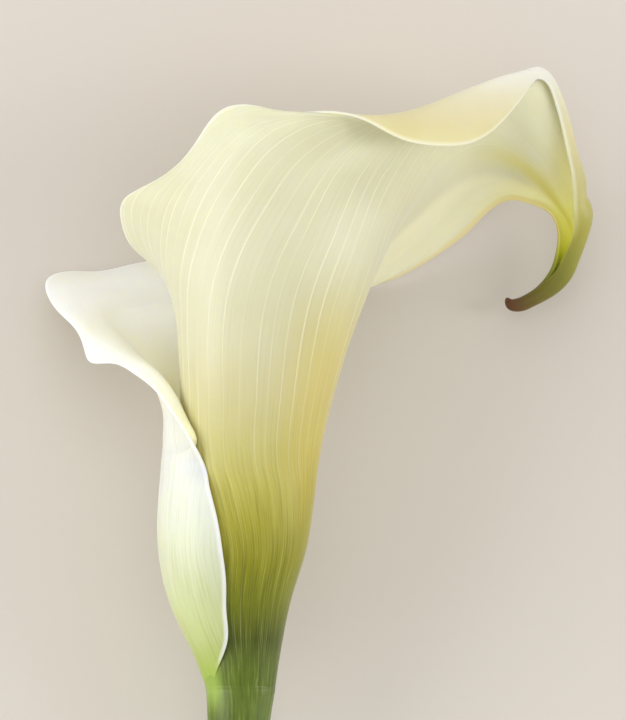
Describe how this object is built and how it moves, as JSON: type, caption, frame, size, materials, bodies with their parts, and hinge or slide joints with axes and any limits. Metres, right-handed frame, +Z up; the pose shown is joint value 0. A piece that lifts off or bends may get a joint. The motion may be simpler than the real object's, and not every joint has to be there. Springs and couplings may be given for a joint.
{
  "type": "calla lily flower",
  "caption": "White funnel-shaped bract rolled round a yellow spadix, with a flared lip and a curled tail, on a cut green stem, lying on its side.",
  "frame": {"origin": "on the table, under the middle of the flower's bounding box", "axes": "+Y along the stem from its cut end towards the mouth, +Z up from the table, +X towards the side that the bract's tip leans to"},
  "size_m": [0.1272, 0.2638, 0.075],
  "materials": {
    "spathe": "satin, slightly waxy living bract, cream white running to green at its foot",
    "spadix": "matt, powdery yellow florets",
    "stem": "satin green stem with fine lengthwise ribs"
  },
  "bodies": {
    "root": {"spathe": "spathe", "spadix": "spadix", "stem": "stem"}
  },
  "joints": []
}
